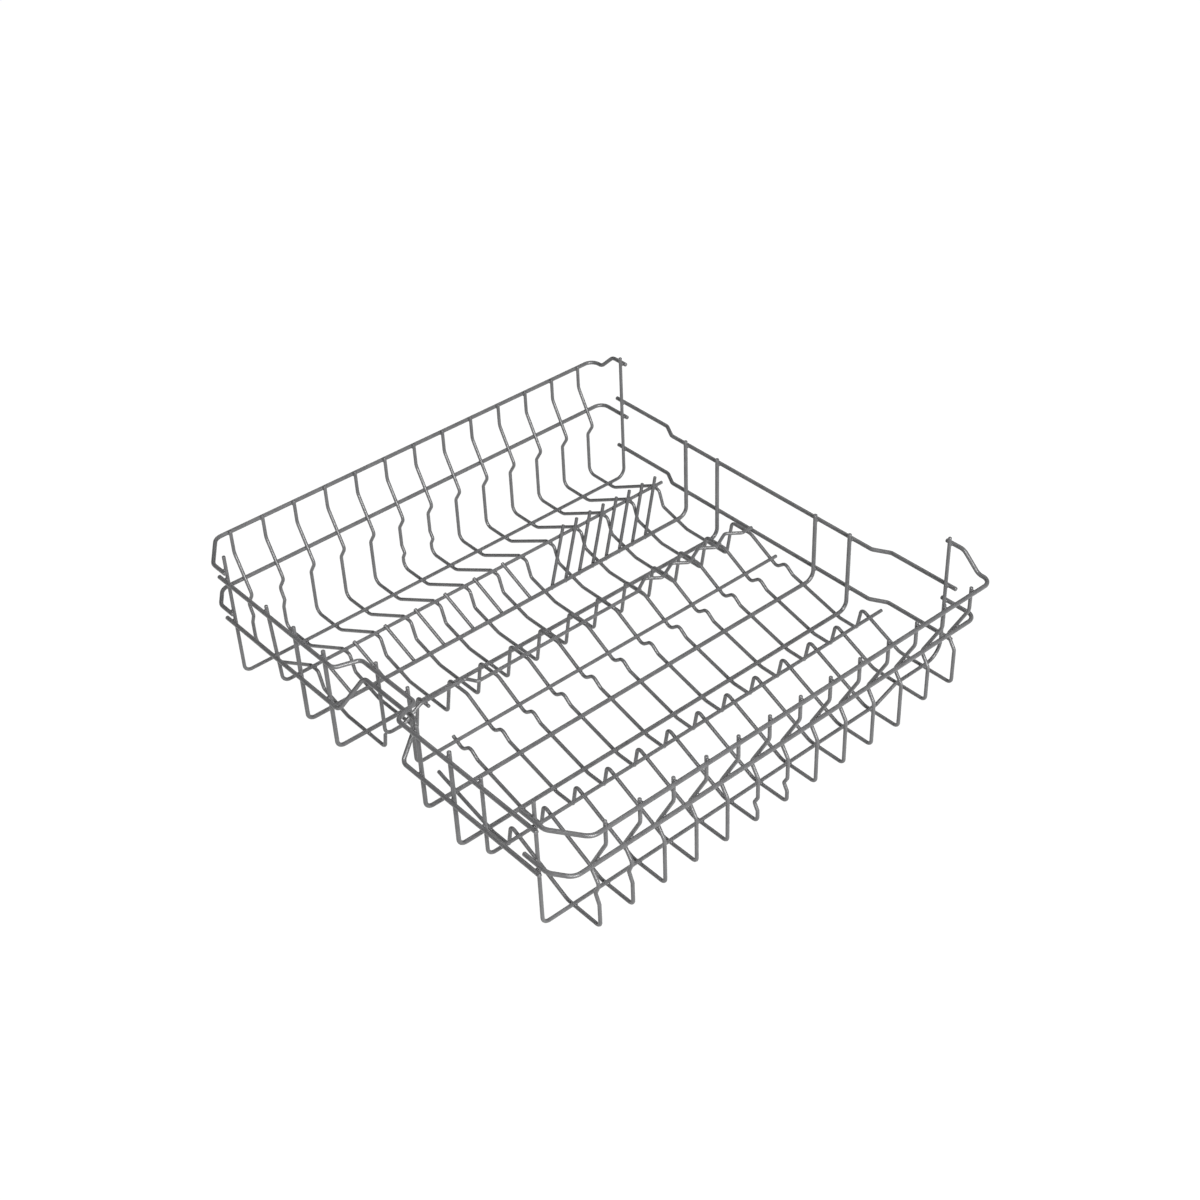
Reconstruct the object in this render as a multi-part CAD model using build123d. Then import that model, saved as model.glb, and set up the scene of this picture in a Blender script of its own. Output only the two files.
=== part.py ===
from build123d import *
import math
import os

# Upper basket of a household dishwasher: bent steel wires, welded together and dipped in plastic.
# Cross wires run from the right rim to the left rim, long wires lie on them from back to front,
# rails go round the outside of both, and two groups of straight pins make a row for cups.
# X is to the right, Y to the back, Z up. The origin is under the middle, on the surface it rests on.
# All wires are laid out by their centre lines, and their diameters are taken over the coating.

# Wires
thin = 3.4
thick = 4.0
weld_gap = 0.02
end_round = 0.8

# Plan: the depth is over the rails, and the rows of cross wires are counted from the back
depth = 484.4
row_count = 13
recess_rows = (1, 2)
roller_rows = (6, 7)
back_gap = 37.2
front_gap = 23.2

# Side walls, drawn by the cross wires: heights are above the flat parts of the floor
rim_x = 261.3
rim_tip_h = 125.0
rim_foot_h = 100.0
rim_bend = 12.0
waist_inset = 20.3
waist_h = 62.0
foot_inset = 11.8
foot_h = 48.5
waist_bend = 6.0
floor_bend = 8.0

# Notches in the side walls that clear the roller brackets
notch_depth = 4.0
notch_bend = 3.0
back_notch_h = 35.0
back_notch_half = 10.0
middle_notch_h = 19.5
middle_notch_half = 7.5

# Right part of the floor: a ramp up to the hump that carries the pins, and a flat base
ramp_x = 210.0
ramp_bend = 15.0
hump_width = 11.5
hump_h = 30.8
hump_bend = 4.0
hump_foot_run = 6.0
hump_foot_h = 13.5
toe_run = 35.5
base_h = 3.0

# Middle of the floor: a steep ridge, a long slope and a small knob
ridge_foot_x = 40.5
ridge_run = 7.5
ridge_width = 26.0
ridge_h = 44.2
ridge_bend = 5.0
shoulder_bend = 10.0
valley_run = 36.0
valley_h = 24.0
valley_bend = 6.0
knob_run = 11.5
knob_h = 33.0
knob_width = 10.0
knob_foot_h = 25.0
knob_bend = 5.0

# Left part of the floor: a gentle slope, a step and a ramp down to the wall
left_base_x = -113.0
left_base_h = 8.0
step_foot_x = -134.5
step_run = 5.0
step_h = 33.5
step_bend = 4.0
left_ramp_run = 70.0
left_corner_bend = 5.0

# The floor's left edge is higher in the last rows, at the front
lifted_rows = 2
lift = 10.4

# Cut ends of the two rows beside the recess
row_1_stub_h = 20.0
row_1_start_h = 28.0
row_2_stub = 5.2
row_2_start = 5.8

# Long wires, counted from the right: where each one touches the cross wires
seat_1_gap = 6.0
seat_2_x = 144.5
seat_2_gap = 6.5
seat_3_gap = 33.3
seat_4_x = 65.0
seat_5_gap = 11.8
seat_6_gap = 28.8
seat_7_x = -66.3
seat_8_gap = 3.1
seat_9_gap = 10.9
seat_10_gap = 9.0
back_bend = 7.0
front_bend = 10.0
lifted_bend = 18.0
lift_run = 26.0
lift_bend = 8.0
corner_back_tip = 136.5
corner_front_tip = 146.0
back_tip = 116.5
front_tip = 99.0
open_end = 5.0
open_end_2 = 9.0
open_end_9 = 14.0
lean_2 = 8.0

# Long wire 5 climbs to the ridge after the recess, jogs sideways one row on and waves in the last rows
dip_5 = 12.4
climb_start = 26.0
climb_end = 5.0
climb_bend = 8.0
wave_width = 10.8
wave_bend = 4.0
wave_first_row = 9
wave_rise_start = 5.0
wave_peak = 13.5
wave_fall_end = 26.5
jog_start = 9.0
jog_end = 15.0

# Side rails, on the outside of the cross wires
top_rail_h = 121.0
lower_rail_h = 75.0
rail_lift_h = 138.0
rail_lift_start = 15.0
rail_lift_end = 33.0
rail_lift_bend = 10.0
front_corner_bend = 10.0
corner_cut_x = 16.0
corner_cut_slope = 0.7
back_corner_bend = 12.0
right_overhang = 4.5
left_back_overhang = 13.0
left_front_overhang = 6.5

# Front rails, outside the front uprights, set back between the corners
front_top_h = 92.0
front_lower_h = 35.0
front_setback = 8.8
setback_x = 135.0
setback_run = 16.0
setback_bend = 8.0
rail_end_x = 228.0

# Back rails, outside the back uprights, with the recess in the middle
back_top_h = 111.0
back_lower_h = 64.5
back_rail_end_x = 225.0
recess_x = 46.0
recess_taper = 8.0
recess_depth = 24.0
recess_lower_h = 91.0
recess_bend = 6.0

# Straight pins between long wires 2 and 3: ratios are shares of the row pitch
tine_tail = 1.5
back_tine_tip = 3.0
back_tine_count = 7
back_tine_ratio = 0.25
back_tine_shift = 9.0
front_tine_tip = 8.0
front_tine_count = 8
front_tine_ratio = 0.3
front_step_ratio = 0.5
front_slant_ratio = 1.37


def contact(first, second):
    """Distance between the centre lines of two wires that are welded side by side."""
    return (first + second) / 2 + weld_gap


# Levels and rows
floor_z = thin / 2
back_rail_y = depth / 2 - thick / 2
front_rail_y = -back_rail_y
row_1_y = back_rail_y - back_gap
row_pitch = (back_rail_y - front_rail_y - back_gap - front_gap) / (row_count - 1)

# Bends of the floor and the seats beside them
hump_x = seat_2_x + seat_2_gap
ridge_x = ridge_foot_x - ridge_run
shoulder_x = ridge_x - ridge_width
step_x = step_foot_x - step_run
seat_1_x = ramp_x + seat_1_gap
seat_3_x = seat_2_x - seat_3_gap
seat_5_x = ridge_x - seat_5_gap
seat_6_x = shoulder_x - seat_6_gap
seat_8_x = left_base_x + seat_8_gap
seat_9_x = step_x - seat_9_gap
seat_10_x = step_x - left_ramp_run - seat_10_gap


def row_y(row):
    """Place of a cross wire, counted from the back."""
    return row_1_y - (row - 1) * row_pitch


def bent_wire(points, bends, diameter):
    """Round wire along straight runs and tangent bends, with rounded cut ends."""
    path = FilletPolyline(*points, radius=bends) if bends else Line(*points)
    section = Plane(origin=path @ 0, z_dir=path % 0) * Circle(diameter / 2)
    wire = sweep(section, path=path)
    cuts = wire.faces().filter_by(GeomType.PLANE)
    return fillet(cuts.edges(), end_round)


def wall(side, notch_h, notch_half, edge_h, edge_bend):
    """Bend points of one side wall from its tip down to the floor, as x, height and bend radius."""
    waist_x = rim_x - waist_inset
    foot_x = rim_x - foot_inset
    points = [
        (rim_x, rim_tip_h, 0),
        (rim_x, rim_foot_h, rim_bend),
        (waist_x, waist_h, waist_bend),
        (foot_x, foot_h, waist_bend),
    ]
    if notch_h:
        points.append((foot_x, notch_h + notch_half, notch_bend))
        points.append((foot_x - notch_depth, notch_h, notch_bend))
        points.append((foot_x, notch_h - notch_half, notch_bend))
    points.append((foot_x, edge_h, edge_bend))
    return [(side * x, h, bend) for x, h, bend in points]


def right_floor():
    """Bend points of the floor from the right wall to the top of the ridge."""
    hump_end_x = hump_x - hump_width
    hump_foot_x = hump_end_x - hump_foot_run
    return [
        (ramp_x, 0, ramp_bend),
        (hump_x, hump_h, hump_bend),
        (hump_end_x, hump_h, hump_bend),
        (hump_foot_x, hump_foot_h, hump_bend),
        (hump_foot_x - toe_run, base_h, ramp_bend),
        (ridge_foot_x, base_h, ridge_bend),
        (ridge_x, ridge_h, ridge_bend),
    ]


def left_floor(edge_h):
    """Bend points of the floor from the ridge's shoulder to the left wall."""
    valley_x = shoulder_x - valley_run
    knob_x = valley_x - knob_run
    ramp_end_x = step_x - left_ramp_run * (step_h - edge_h) / step_h
    return [
        (shoulder_x, ridge_h, shoulder_bend),
        (valley_x, valley_h, valley_bend),
        (knob_x, knob_h, knob_bend),
        (knob_x - knob_width, knob_foot_h, knob_bend),
        (left_base_x, left_base_h, ramp_bend),
        (step_foot_x, left_base_h, step_bend),
        (step_x, step_h, step_bend),
        (ramp_end_x, edge_h, ramp_bend),
    ]


def height_at(outline, x):
    """Height of an outline's straight run at a place, and the run's direction."""
    for (x1, h1, _), (x2, h2, _) in zip(outline, outline[1:]):
        if x2 <= x <= x1:
            run = Vector(x2 - x1, h2 - h1).normalized()
            return h1 + (x - x1) * (h2 - h1) / (x2 - x1), run
    raise ValueError(f"no run of the floor at {x}")


def seat(x, diameter):
    """Centre of a long wire that rests on the cross wires where they pass a place."""
    outline = [(rim_x, 0, 0), *right_floor(), *left_floor(0), (-rim_x, 0, 0)]
    h, run = height_at(outline, x)
    reach = contact(thin, diameter)
    return x + reach * run.Y, floor_z + h - reach * run.X


def cross_wire(row, outline):
    """Cross wire of one row along an outline of x, height and bend radius."""
    points = [(x, row_y(row), floor_z + h) for x, h, _ in outline]
    bends = [bend for _, _, bend in outline[1:-1]]
    return bent_wire(points, bends, thin)


def cross_wires():
    """All cross wires by name, with the first two cut at the recess."""
    wires = {}
    for row in range(1, row_count + 1):
        edge_h = lift if row > row_count - lifted_rows else 0
        notch = (None, None)
        if row in recess_rows:
            notch = (back_notch_h, back_notch_half)
        if row in roller_rows:
            notch = (middle_notch_h, middle_notch_half)
        right = wall(1, *notch, 0, floor_bend) + right_floor()
        left = left_floor(edge_h) + wall(-1, *notch, edge_h, left_corner_bend)[::-1]
        name = f"cross_wire_{row}"
        if row == recess_rows[0]:
            foot = right[-2]
            along = (row_1_stub_h - foot[1]) / (right[-1][1] - foot[1])
            stub = (foot[0] + along * (right[-1][0] - foot[0]), row_1_stub_h, 0)
            wires[f"{name}_right"] = cross_wire(row, right[:-1] + [stub])
            start = (left[2][0], row_1_start_h, 0)
            wires[f"{name}_left"] = cross_wire(row, [start] + left[3:])
        elif row == recess_rows[1]:
            stub = (seat_5_x - row_2_stub, ridge_h, 0)
            start_x = seat_6_x + row_2_start
            start = (start_x, height_at(left, start_x)[0], 0)
            wires[f"{name}_right"] = cross_wire(row, right + [stub])
            wires[f"{name}_left"] = cross_wire(row, [start] + left[1:])
        else:
            wires[name] = cross_wire(row, right + left)
    return wires


def back_run(x, z, diameter, tip, rail_y=back_rail_y):
    """Tip and foot of a long wire's back upright, inside a back rail."""
    y = rail_y - contact(thick, diameter)
    return [(x, y, floor_z + tip), (x, y, z)]


def front_run(x, z, diameter, tip, rail_y):
    """Foot and tip of a long wire's front upright, inside a front rail."""
    y = rail_y + contact(thick, diameter)
    return [(x, y, z), (x, y, floor_z + tip)]


def corner_wire(seat_x):
    """Points of a long wire beside a side wall, with tall uprights at both ends."""
    x, z = seat(seat_x, thin)
    return back_run(x, z, thin, corner_back_tip) + front_run(x, z, thin, corner_front_tip, front_rail_y)


def thick_wire(seat_x):
    """Long wire of the thick kind, with uprights at both ends."""
    x, z = seat(seat_x, thick)
    front = front_run(x, z, thick, front_tip, front_rail_y + front_setback)
    return bent_wire(back_run(x, z, thick, back_tip) + front, [back_bend, front_bend], thick)


def open_wire(seat_x, end, lean=0, rail_y=back_rail_y):
    """Long wire with an upright at the back only, which may lean sideways."""
    x, z = seat(seat_x, thin)
    (_, y, tip_z), foot = back_run(x, z, thin, back_tip, rail_y)
    points = [(x + lean, y, tip_z), foot, (x, row_y(row_count) - end, z)]
    return bent_wire(points, back_bend, thin)


def wavy_wire():
    """Long wire 5: low in the recess, level from there on, with a jog and waves in its own level."""
    out_x, z = seat(seat_5_x, thin)
    in_x = out_x - wave_width
    tip, foot = back_run(out_x, z - dip_5, thin, back_tip, back_rail_y - recess_depth)
    climb_y = row_y(recess_rows[1])
    jog_y = climb_y - row_pitch
    climb = [(out_x, climb_y + climb_start, z - dip_5), (out_x, climb_y + climb_end, z)]
    jog = [(out_x, jog_y - jog_start, z), (in_x, jog_y - jog_end, z)]
    waves = [(in_x, row_y(wave_first_row) + wave_rise_start, z)]
    for row in range(wave_first_row, row_count):
        waves.append((out_x, row_y(row) - wave_peak, z))
        waves.append((in_x, row_y(row) - wave_fall_end, z))
    points = [tip, foot, *climb, *jog, *waves, (in_x, row_y(row_count) - open_end, z)]
    bends = [back_bend, climb_bend, climb_bend] + [wave_bend] * (len(jog) + len(waves))
    return bent_wire(points, bends, thin)


def climbing_wire():
    """Long wire 10, which climbs with the lifted edge of the last rows."""
    tip, foot, front_foot, front_end = corner_wire(seat_10_x)
    x, _, z = foot
    last_low = row_count - lifted_rows
    middle_y = (row_y(last_low) + row_y(last_low + 1)) / 2
    climb = [(x, middle_y + lift_run / 2, z), (x, middle_y - lift_run / 2, z + lift)]
    points = [tip, foot, *climb, (x, front_foot[1], z + lift), front_end]
    return bent_wire(points, [back_bend, lift_bend, lift_bend, lifted_bend], thin)


def long_wires():
    """All long wires by name, from right to left."""
    return {
        "long_wire_1": bent_wire(corner_wire(seat_1_x), [back_bend, front_bend], thin),
        "long_wire_2": open_wire(seat_2_x, open_end_2, lean_2),
        "long_wire_3": thick_wire(seat_3_x),
        "long_wire_4": thick_wire(seat_4_x),
        "long_wire_5": wavy_wire(),
        "long_wire_6": open_wire(seat_6_x, open_end, rail_y=back_rail_y - recess_depth),
        "long_wire_7": thick_wire(seat_7_x),
        "long_wire_8": thick_wire(seat_8_x),
        "long_wire_9": open_wire(seat_9_x, open_end_9),
        "long_wire_10": climbing_wire(),
    }


def side_rail_x(h):
    """Distance of a side rail from the middle, where it lies on the outside of the wall at a height."""
    reach = contact(thin, thick)
    if h > rim_foot_h:
        return rim_x + reach
    waist_x = rim_x - waist_inset
    slope = Vector(waist_inset, rim_foot_h - waist_h).normalized()
    wall_h = h + reach * slope.X
    return waist_x + (wall_h - waist_h) * slope.X / slope.Y + reach * slope.Y


def side_rail(side, h, end_h):
    """Side rail from the back upright of its side round to the front one, where it may end higher."""
    x = side_rail_x(h)
    post_x = abs(seat_1_x if side > 0 else seat_10_x)
    back_end = post_x - (right_overhang if side > 0 else left_back_overhang)
    front_end = post_x - (right_overhang if side > 0 else left_front_overhang)
    cut_x = post_x + corner_cut_x
    cut_y = back_rail_y - (x - cut_x) * corner_cut_slope
    points = [(back_end, back_rail_y, h), (cut_x, back_rail_y, h), (x, cut_y, h), (x, front_rail_y, h)]
    bends = [back_corner_bend, back_corner_bend, front_corner_bend]
    if end_h > h:
        points.append((x - rail_lift_start, front_rail_y, h))
        points.append((x - rail_lift_end, front_rail_y, end_h))
        bends += [rail_lift_bend, rail_lift_bend]
    points.append((front_end, front_rail_y, end_h))
    return bent_wire([(side * px, py, floor_z + ph) for px, py, ph in points], bends, thick)


def mirrored_run(right_half):
    """Points of a run that is the same on both sides, from its right half."""
    return right_half + [(-x, y, z) for x, y, z in right_half[::-1]]


def front_rail(h):
    """Front rail, set back between the corner uprights."""
    z = floor_z + h
    right_half = [
        (rail_end_x, front_rail_y, z),
        (setback_x + setback_run, front_rail_y, z),
        (setback_x, front_rail_y + front_setback, z),
    ]
    return bent_wire(mirrored_run(right_half), setback_bend, thick)


def back_rail(h, recess_h):
    """Back rail with the recess, which may lie higher than its ends."""
    right_half = [
        (back_rail_end_x, back_rail_y, floor_z + h),
        (recess_x, back_rail_y, floor_z + h),
        (recess_x - recess_taper, back_rail_y - recess_depth, floor_z + recess_h),
    ]
    return bent_wire(mirrored_run(right_half), recess_bend, thick)


def rails():
    """All rails by name."""
    return {
        "right_top_rail": side_rail(1, top_rail_h, rail_lift_h),
        "right_lower_rail": side_rail(1, lower_rail_h, lower_rail_h),
        "left_top_rail": side_rail(-1, top_rail_h, rail_lift_h),
        "left_lower_rail": side_rail(-1, lower_rail_h, lower_rail_h),
        "front_top_rail": front_rail(front_top_h),
        "front_lower_rail": front_rail(front_lower_h),
        "back_top_rail": back_rail(back_top_h, back_top_h),
        "back_lower_rail": back_rail(back_lower_h, recess_lower_h),
    }


def tine(bottom_y, top_y, tip):
    """Straight pin that passes over long wire 2 and under long wire 3."""
    upper = Vector(*seat(seat_2_x, thin))
    lower = Vector(*seat(seat_3_x, thick))
    over = contact(thin, thin)
    under = contact(thin, thick)
    span = upper - lower
    angle = math.atan2(span.Y, span.X) + math.asin((over + under) / span.length)
    along = Vector(math.cos(angle), math.sin(angle))
    across = Vector(-along.Y, along.X)
    top = upper + across * over + along * tip
    bottom = lower - across * under - along * tine_tail
    return bent_wire([(bottom.X, bottom_y, bottom.Y), (top.X, top_y, top.Y)], None, thin)


def tines():
    """Both groups of pins by name, each counted from the back."""
    pins = {}
    for number in range(1, back_tine_count + 1):
        top_y = row_y(number) - row_pitch * back_tine_ratio
        pins[f"back_tine_{number}"] = tine(top_y - back_tine_shift, top_y, back_tine_tip)
    for number in range(1, front_tine_count + 1):
        rows_on = front_tine_ratio + (front_tine_count - number) * front_step_ratio
        bottom_y = row_y(row_count - 1) + row_pitch * rows_on
        top_y = bottom_y - row_pitch * front_slant_ratio
        pins[f"front_tine_{number}"] = tine(bottom_y, top_y, front_tine_tip)
    return pins


os.makedirs("parts", exist_ok=True)
for node, solid in {**cross_wires(), **long_wires(), **rails(), **tines()}.items():
    solid.label = node
    export_step(solid, f"parts/{node}.step")
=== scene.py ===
import itertools
import math

import bpy
import numpy as np
from bpy.props import FloatProperty, FloatVectorProperty, IntProperty, PointerProperty
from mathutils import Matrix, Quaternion, Vector
from mathutils.bvhtree import BVHTree


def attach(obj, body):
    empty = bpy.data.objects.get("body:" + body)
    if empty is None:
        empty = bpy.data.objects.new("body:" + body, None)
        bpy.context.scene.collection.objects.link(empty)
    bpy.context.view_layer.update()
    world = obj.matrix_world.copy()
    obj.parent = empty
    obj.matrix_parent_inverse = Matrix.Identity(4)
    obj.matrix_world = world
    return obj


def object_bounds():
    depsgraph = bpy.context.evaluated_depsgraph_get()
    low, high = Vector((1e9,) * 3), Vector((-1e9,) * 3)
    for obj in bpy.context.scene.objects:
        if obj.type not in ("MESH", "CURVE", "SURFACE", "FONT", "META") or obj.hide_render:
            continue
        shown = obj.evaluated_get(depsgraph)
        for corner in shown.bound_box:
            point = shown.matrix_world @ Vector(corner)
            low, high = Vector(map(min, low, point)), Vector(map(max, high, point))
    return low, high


bl_info = {
    "name": "Dishwasher Basket",
    "version": (1, 0, 0),
    "blender": (4, 5, 0),
    "location": "View3D > Sidebar > Basket",
    "description": "Coats the wires of an upper dishwasher basket, fills their welds and sets the stage",
    "category": "Object",
}

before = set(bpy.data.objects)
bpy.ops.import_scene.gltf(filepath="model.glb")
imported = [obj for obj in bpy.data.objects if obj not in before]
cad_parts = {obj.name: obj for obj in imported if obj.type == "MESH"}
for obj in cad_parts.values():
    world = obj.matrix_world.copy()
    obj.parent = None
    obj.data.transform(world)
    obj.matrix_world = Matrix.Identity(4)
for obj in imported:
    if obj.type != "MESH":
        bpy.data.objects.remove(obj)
cad_low, cad_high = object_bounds()
BODY = "root"

# Brightness of the coating on each group of wires, against the grey of the coating
TONES = {"cross_wires": 1.0, "long_wires": 1.03, "rails": 1.05, "pins": 1.0, "weld_fillets": 1.0}
# Values of the patches' noise where the main grey ends and the pale grey is full
PATCH_EDGES = (0.38, 0.66)
# Change of the roughness in the hollows and on the tops of the ripples
GLOSS_SWING = (-0.06, 0.07)
# Height of the fine grain as a share of the ripples' height
GRAIN_SHARE = 0.25
# Two welds of the same wires lie at least this many reaches of a fillet apart
REACHES_APART = 4


class BasketCoating(bpy.types.PropertyGroup):
    """Dipped plastic coating of the wires"""

    grey: FloatVectorProperty(
        name="Grey", description="Main colour of the coating", subtype="COLOR", size=3,
        min=0.0, max=1.0, default=(0.090, 0.090, 0.0925))
    pale_grey: FloatVectorProperty(
        name="Pale grey", description="Colour of the thicker patches", subtype="COLOR", size=3,
        min=0.0, max=1.0, default=(0.112, 0.112, 0.1145))
    roughness: FloatProperty(
        name="Roughness", description="Mean roughness of the coating", subtype="FACTOR",
        min=0.0, max=1.0, default=0.33)
    patch_size: FloatProperty(
        name="Patch size", description="Length of the paler patches", unit="LENGTH", default=0.011)
    peel_size: FloatProperty(
        name="Peel size", description="Width of the ripples left by the dip", unit="LENGTH", default=0.003)
    peel_depth: FloatProperty(
        name="Peel depth", description="Height of the ripples left by the dip", unit="LENGTH",
        default=0.000016)
    grain_size: FloatProperty(
        name="Grain size", description="Width of the fine grain of the plastic", unit="LENGTH",
        default=0.00035)


class BasketWelds(bpy.types.PropertyGroup):
    """Coating that gathers where two wires are welded"""

    reach: FloatProperty(
        name="Reach", description="How far a fillet of coating spreads from a weld", unit="LENGTH",
        default=0.0021)
    height: FloatProperty(
        name="Height", description="Half the thickness of a fillet across the weld", unit="LENGTH",
        default=0.00085)
    near: FloatProperty(
        name="Near", description="Largest gap that counts as touching", unit="LENGTH", default=0.00045)
    step: FloatProperty(
        name="Step", description="Spacing of the points that feel for welds", unit="LENGTH", default=0.0012)
    rings: IntProperty(
        name="Rings", description="Rings of each fillet from pole to pole", min=4, default=8)
    spokes: IntProperty(
        name="Spokes", description="Points round each fillet", min=6, default=14)


class BasketStage(bpy.types.PropertyGroup):
    """Floor, light and camera"""

    floor_size: FloatProperty(
        name="Floor size", description="Side of the square floor", unit="LENGTH", default=40.0)
    floor_colour: FloatVectorProperty(
        name="Floor colour", description="Colour of the floor", subtype="COLOR", size=3,
        min=0.0, max=1.0, default=(0.07, 0.07, 0.07))
    floor_glow: FloatProperty(
        name="Floor glow", description="Even light that the floor gives off, as a lit table does", min=0.0,
        default=0.97)
    backdrop_height: FloatProperty(
        name="Backdrop height", description="Height of the white wall round the floor", unit="LENGTH",
        default=20.0)
    backdrop_glow: FloatProperty(
        name="Backdrop glow", description="Even light that the wall gives off", min=0.0, default=0.97)
    sky: FloatProperty(
        name="Sky", description="Strength of the even light from all sides", min=0.0, default=0.065)
    key_power: FloatProperty(
        name="Key power", description="Power of the large soft light", unit="POWER", default=310.0)
    key_size: FloatProperty(
        name="Key size", description="Side of the soft light", unit="LENGTH", default=2.4)
    light_distance: FloatProperty(
        name="Light distance", description="Distance of the lights", unit="LENGTH", default=5.0)
    key_azimuth: FloatProperty(
        name="Key azimuth", description="Direction that the soft light shines in, 0 shines to the back",
        subtype="ANGLE", default=math.radians(258))
    key_elevation: FloatProperty(
        name="Key elevation", description="Angle of the soft light above the horizon", subtype="ANGLE",
        default=math.radians(24))
    fill_power: FloatProperty(
        name="Fill power", description="Power of the small light above the camera", unit="POWER",
        default=165.0)
    fill_size: FloatProperty(
        name="Fill size", description="Side of the small light", unit="LENGTH", default=1.3)
    fill_rise: FloatProperty(
        name="Fill rise", description="Angle of the small light above the line of sight", subtype="ANGLE",
        default=math.radians(14))
    back_power: FloatProperty(
        name="Back power", description="Power of the soft light opposite the camera", unit="POWER",
        default=34.0)
    back_elevation: FloatProperty(
        name="Back elevation", description="Angle of the light opposite the camera above the horizon",
        subtype="ANGLE", default=math.radians(52))
    eye: FloatVectorProperty(
        name="Eye", description="Place of the camera", subtype="TRANSLATION", size=3, unit="LENGTH",
        default=(-1.0692, 0.8650, 1.1307))
    azimuth: FloatProperty(
        name="Azimuth", description="Direction of view, 0 looks to the back", subtype="ANGLE",
        default=math.radians(230.466))
    elevation: FloatProperty(
        name="Elevation", description="Angle of view above the horizon", subtype="ANGLE",
        default=math.radians(37.315))
    roll: FloatProperty(
        name="Roll", description="Tilt of the camera about its own axis", subtype="ANGLE",
        default=math.radians(-2.572))
    lens: FloatProperty(
        name="Lens", description="Focal length of the camera in millimetres", default=57.52)


def add_node(tree, kind, **values):
    """New shader node with its named inputs set."""
    node = tree.nodes.new(kind)
    for name, value in values.items():
        node.inputs[name.replace("_", " ")].default_value = value
    return node


def coating_material(group, props):
    """Semi-gloss dipped plastic of one group: pale patches, ripples from the dip and a fine grain."""
    material = bpy.data.materials.new(f"coating_{group}")
    material.use_nodes = True
    tree = material.node_tree
    shader = tree.nodes["Principled BSDF"]
    place = tree.nodes.new("ShaderNodeTexCoord").outputs["Object"]
    patches = add_node(tree, "ShaderNodeTexNoise", Scale=1 / props.patch_size, Detail=3.0, Roughness=0.55)
    peel = add_node(tree, "ShaderNodeTexNoise", Scale=1 / props.peel_size, Detail=2.0, Roughness=0.5)
    grain = add_node(tree, "ShaderNodeTexNoise", Scale=1 / props.grain_size, Detail=1.0)
    for texture in (patches, peel, grain):
        tree.links.new(place, texture.inputs["Vector"])

    colours = tree.nodes.new("ShaderNodeValToRGB")
    for stop, edge, colour in zip(colours.color_ramp.elements, PATCH_EDGES, (props.grey, props.pale_grey)):
        stop.position = edge
        stop.color = [channel * TONES[group] for channel in colour] + [1]
    tree.links.new(patches.outputs["Fac"], colours.inputs["Fac"])
    tree.links.new(colours.outputs["Color"], shader.inputs["Base Color"])

    gloss = add_node(tree, "ShaderNodeMapRange", From_Min=0.3, From_Max=0.7,
                     To_Min=props.roughness + GLOSS_SWING[0], To_Max=props.roughness + GLOSS_SWING[1])
    tree.links.new(peel.outputs["Fac"], gloss.inputs["Value"])
    tree.links.new(gloss.outputs["Result"], shader.inputs["Roughness"])

    ripple = add_node(tree, "ShaderNodeBump", Strength=0.5, Distance=props.peel_depth)
    fine = add_node(tree, "ShaderNodeBump", Strength=0.25, Distance=props.peel_depth * GRAIN_SHARE)
    tree.links.new(peel.outputs["Fac"], ripple.inputs["Height"])
    tree.links.new(grain.outputs["Fac"], fine.inputs["Height"])
    tree.links.new(ripple.outputs["Normal"], fine.inputs["Normal"])
    tree.links.new(fine.outputs["Normal"], shader.inputs["Normal"])
    shader.inputs["IOR"].default_value = 1.5
    shader.inputs["Specular IOR Level"].default_value = 0.75
    return material


def coat(prefixes, material):
    """Gives a material to all wires whose names start with one of the prefixes, and returns how many."""
    wires = [node for name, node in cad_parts.items() if name.startswith(prefixes)]
    for wire in wires:
        wire.data.materials.clear()
        wire.data.materials.append(material)
    return len(wires)


class BASKET_OT_coat_cross_wires(bpy.types.Operator):
    """Coats the cross wires that make the floor and the side walls"""

    bl_idname = "basket.coat_cross_wires"
    bl_label = "Coat cross wires"

    def execute(self, context):
        material = coating_material("cross_wires", context.scene.basket_coating)
        if not coat(("cross_wire",), material):
            raise RuntimeError("the frame has no cross wires")
        return {"FINISHED"}


class BASKET_OT_coat_long_wires(bpy.types.Operator):
    """Coats the long wires and their uprights"""

    bl_idname = "basket.coat_long_wires"
    bl_label = "Coat long wires"

    def execute(self, context):
        material = coating_material("long_wires", context.scene.basket_coating)
        if not coat(("long_wire",), material):
            raise RuntimeError("the frame has no long wires")
        return {"FINISHED"}


class BASKET_OT_coat_rails(bpy.types.Operator):
    """Coats the rails that go round the outside"""

    bl_idname = "basket.coat_rails"
    bl_label = "Coat rails"

    def execute(self, context):
        material = coating_material("rails", context.scene.basket_coating)
        sides = ("right_", "left_", "front_top", "front_lower", "back_top", "back_lower")
        if not coat(sides, material):
            raise RuntimeError("the frame has no rails")
        return {"FINISHED"}


class BASKET_OT_coat_tines(bpy.types.Operator):
    """Coats the straight pins of the cup row"""

    bl_idname = "basket.coat_tines"
    bl_label = "Coat pins"

    def execute(self, context):
        material = coating_material("pins", context.scene.basket_coating)
        if not coat(("back_tine", "front_tine"), material):
            raise RuntimeError("the frame has no pins")
        return {"FINISHED"}


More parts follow.
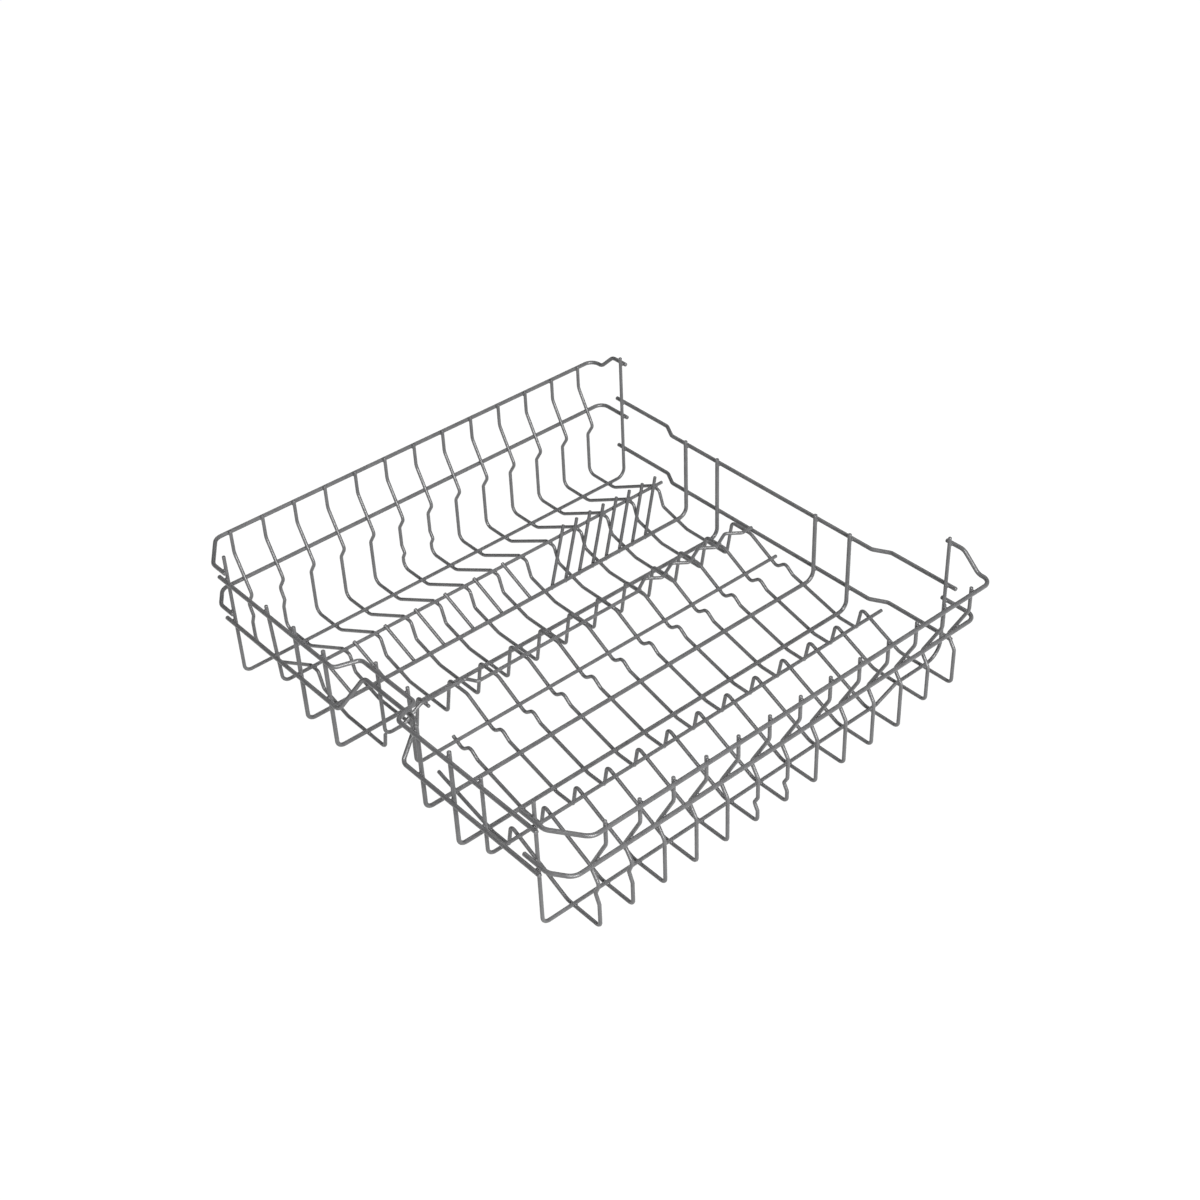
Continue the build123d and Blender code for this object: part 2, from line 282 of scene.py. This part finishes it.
def surface_points(node, step):
    """Points along all edges of a wire's mesh, no further apart than a step."""
    mesh = node.data
    places = np.empty(len(mesh.vertices) * 3)
    mesh.vertices.foreach_get("co", places)
    places = places.reshape(-1, 3)
    ends = np.empty(len(mesh.edges) * 2, dtype=np.int64)
    mesh.edges.foreach_get("vertices", ends)
    start, end = places[ends.reshape(-1, 2).T]
    counts = np.maximum(1, np.ceil(np.linalg.norm(end - start, axis=1) / step).astype(int))
    edge = np.repeat(np.arange(len(counts)), counts)
    first = np.repeat(np.cumsum(counts) - counts, counts)
    along = ((np.arange(len(edge)) - first) / counts[edge])[:, None]
    return start[edge] + (end[edge] - start[edge]) * along


def touches(tree, points, props):
    """Groups the points that touch a wire by place, each with its middle and the direction across."""
    groups = []
    for point in points:
        spot, normal, _, _ = tree.find_nearest(point, props.near)
        if spot is None:
            continue
        middle = (spot + Vector(point)) / 2
        for group in groups:
            if (group[0][0] - middle).length < REACHES_APART * props.reach:
                group.append((middle, normal))
                break
        else:
            groups.append([(middle, normal)])
    return groups


def weld_places(props):
    """Finds each place where two wires touch, as its middle, its direction across and the two names."""
    points, trees, boxes = {}, {}, {}
    for name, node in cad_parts.items():
        points[name] = surface_points(node, props.step)
        boxes[name] = (points[name].min(0) - props.near, points[name].max(0) + props.near)
        corners = [vertex.co for vertex in node.data.vertices]
        trees[name] = BVHTree.FromPolygons(corners, [face.vertices for face in node.data.polygons])
    welds = []
    for name, other in itertools.combinations(sorted(points), 2):
        low = np.maximum(boxes[name][0], boxes[other][0])
        high = np.minimum(boxes[name][1], boxes[other][1])
        inside = points[other][((points[other] >= low) & (points[other] <= high)).all(1)]
        for group in touches(trees[name], inside, props):
            middle = sum((entry[0] for entry in group), Vector()) / len(group)
            across = sum((entry[1] for entry in group), Vector()).normalized()
            welds.append((middle, across, name, other))
    return welds


def weld_group(name, other):
    """Piece that the weld of two named wires belongs to."""
    names = name + other
    if "tine" in names:
        return "weld_fillets_pins"
    return "weld_fillets_rails" if "rail" in names else "weld_fillets_floor"


def lens_shape(props):
    """Corners and faces of one flat round lens with its poles on Z."""
    corners = [(0, 0, props.height)]
    for ring in np.linspace(0, math.pi, props.rings + 1)[1:-1]:
        radius = props.reach * math.sin(ring)
        for spoke in np.linspace(0, 2 * math.pi, props.spokes, endpoint=False):
            corners.append((radius * math.cos(spoke), radius * math.sin(spoke), props.height * math.cos(ring)))
    corners.append((0, 0, -props.height))
    last = len(corners) - 1
    faces = []
    for spoke in range(props.spokes):
        beside = (spoke + 1) % props.spokes
        faces.append((0, 1 + spoke, 1 + beside))
        for ring in range(props.rings - 2):
            row = 1 + ring * props.spokes
            below = row + props.spokes
            faces.append((row + spoke, below + spoke, below + beside, row + beside))
        row = last - props.spokes
        faces.append((last, row + beside, row + spoke))
    return corners, faces


def fillet_mesh(name, welds, props):
    """Mesh of lenses, one across each weld, that fill the crevice between two wires."""
    lens, faces = lens_shape(props)
    corners, polygons = [], []
    for middle, across, _, _ in welds:
        turn = across.to_track_quat("Z", "Y")
        base = len(corners)
        corners.extend(middle + turn @ Vector(corner) for corner in lens)
        polygons.extend(tuple(base + corner for corner in face) for face in faces)
    mesh = bpy.data.meshes.new(name)
    mesh.from_pydata(corners, [], polygons)
    mesh.shade_smooth()
    return mesh


class BASKET_OT_fill_welds(bpy.types.Operator):
    """Runs the coating into the crevices where wires are welded together"""

    bl_idname = "basket.fill_welds"
    bl_label = "Fill welds"

    def execute(self, context):
        props = context.scene.basket_welds
        material = coating_material("weld_fillets", context.scene.basket_coating)
        groups = {"weld_fillets_pins": [], "weld_fillets_rails": [], "weld_fillets_floor": []}
        for weld in weld_places(props):
            groups[weld_group(*weld[2:])].append(weld)
        for name, welds in groups.items():
            if not welds:
                raise RuntimeError(f"no welds found for {name}")
            fillets = bpy.data.objects.new(name, fillet_mesh(name, welds, props))
            fillets.data.materials.append(material)
            context.scene.collection.objects.link(fillets)
            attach(fillets, BODY)
        return {"FINISHED"}


def view_direction(azimuth, elevation):
    """Direction from the object to an eye that looks at it."""
    level = math.cos(elevation)
    return Vector((math.sin(azimuth) * level, -math.cos(azimuth) * level, math.sin(elevation)))


def area_light(name, place, target, size, power):
    """Square soft light at a place, turned towards a target."""
    lamp = bpy.data.lights.new(name, "AREA")
    lamp.size = size
    lamp.energy = power
    light = bpy.data.objects.new(name, lamp)
    light.location = place
    light.rotation_euler = (Vector(target) - Vector(place)).to_track_quat("-Z", "Y").to_euler()
    bpy.context.scene.collection.objects.link(light)


def stage_object(name, corners, faces, colour, glow):
    """Plain matt surface of the stage that gives off an even white light."""
    mesh = bpy.data.meshes.new(name)
    mesh.from_pydata(corners, [], faces)
    material = bpy.data.materials.new(f"pale_{name}")
    material.use_nodes = True
    shader = material.node_tree.nodes["Principled BSDF"]
    shader.inputs["Base Color"].default_value = [*colour, 1]
    shader.inputs["Emission Color"].default_value = (1, 1, 1, 1)
    shader.inputs["Emission Strength"].default_value = glow
    shader.inputs["Roughness"].default_value = 0.9
    shader.inputs["Specular IOR Level"].default_value = 0
    mesh.materials.append(material)
    surface = bpy.data.objects.new(name, mesh)
    bpy.context.scene.collection.objects.link(surface)
    return surface


class BASKET_OT_set_stage(bpy.types.Operator):
    """Lays a pale floor and sets the lights and the camera"""

    bl_idname = "basket.set_stage"
    bl_label = "Set stage"

    def execute(self, context):
        props = context.scene.basket_stage
        self.lay_floor(props)
        self.set_lights(context, props)
        self.set_camera(context, props)
        return {"FINISHED"}

    def lay_floor(self, props):
        half = props.floor_size / 2
        corners = [(-half, -half), (half, -half), (half, half), (-half, half)]
        count = len(corners)
        low = [(x, y, cad_low.z) for x, y in corners]
        high = [(x, y, cad_low.z + props.backdrop_height) for x, y in corners]
        walls = [(side, count + side, count + (side + 1) % count, (side + 1) % count) for side in range(count)]
        # The floor shows in the gloss of the wires but lights nothing from below, so undersides stay dark
        floor = stage_object("floor", low, [tuple(range(count))], props.floor_colour, props.floor_glow)
        floor.visible_diffuse = False
        # The backdrop is there for the camera alone
        backdrop = stage_object("backdrop", low + high, walls, (0, 0, 0), props.backdrop_glow)
        backdrop.visible_diffuse = False
        backdrop.visible_glossy = False

    def set_lights(self, context, props):
        world = bpy.data.worlds.new("even_light")
        world.use_nodes = True
        background = world.node_tree.nodes["Background"]
        background.inputs["Color"].default_value = (1, 1, 1, 1)
        background.inputs["Strength"].default_value = props.sky
        context.scene.world = world
        middle = (cad_low + cad_high) / 2
        lights = (
            ("key_light", props.key_azimuth, props.key_elevation, props.key_size, props.key_power),
            ("fill_light", props.azimuth, props.elevation + props.fill_rise, props.fill_size, props.fill_power),
            ("back_light", props.azimuth + math.pi, props.back_elevation, props.key_size, props.back_power),
        )
        for name, azimuth, elevation, size, power in lights:
            place = middle + view_direction(azimuth, elevation) * props.light_distance
            area_light(name, place, middle, size, power)

    def set_camera(self, context, props):
        optics = bpy.data.cameras.new("camera")
        optics.sensor_width = 36.0
        optics.lens = props.lens
        optics.clip_start = 0.05
        optics.clip_end = 50.0
        camera = bpy.data.objects.new("camera", optics)
        level = (-view_direction(props.azimuth, props.elevation)).to_track_quat("-Z", "Y")
        camera.rotation_mode = "QUATERNION"
        camera.rotation_quaternion = level @ Quaternion((0, 0, 1), props.roll)
        camera.location = props.eye
        context.scene.collection.objects.link(camera)
        context.scene.camera = camera
        context.scene.view_settings.view_transform = "Standard"


class BASKET_PT_panel(bpy.types.Panel):
    """Basket tools in the sidebar"""

    bl_idname = "BASKET_PT_panel"
    bl_label = "Dishwasher basket"
    bl_space_type = "VIEW_3D"
    bl_region_type = "UI"
    bl_category = "Basket"

    def draw(self, context):
        for group in (context.scene.basket_coating, context.scene.basket_welds, context.scene.basket_stage):
            box = self.layout.box()
            for name in group.__annotations__:
                box.prop(group, name)
        for operator in OPERATORS:
            self.layout.operator(operator.bl_idname)


OPERATORS = (
    BASKET_OT_coat_cross_wires,
    BASKET_OT_coat_long_wires,
    BASKET_OT_coat_rails,
    BASKET_OT_coat_tines,
    BASKET_OT_fill_welds,
    BASKET_OT_set_stage,
)
CLASSES = (BasketCoating, BasketWelds, BasketStage, *OPERATORS, BASKET_PT_panel)


def register():
    for cls in CLASSES:
        bpy.utils.register_class(cls)
    bpy.types.Scene.basket_coating = PointerProperty(type=BasketCoating)
    bpy.types.Scene.basket_welds = PointerProperty(type=BasketWelds)
    bpy.types.Scene.basket_stage = PointerProperty(type=BasketStage)


def unregister():
    del bpy.types.Scene.basket_stage
    del bpy.types.Scene.basket_welds
    del bpy.types.Scene.basket_coating
    for cls in reversed(CLASSES):
        bpy.utils.unregister_class(cls)


def main():
    register()
    bpy.ops.basket.coat_cross_wires()
    bpy.ops.basket.coat_long_wires()
    bpy.ops.basket.coat_rails()
    bpy.ops.basket.coat_tines()
    bpy.ops.basket.fill_welds()
    bpy.ops.basket.set_stage()


if __name__ == "__main__":
    main()
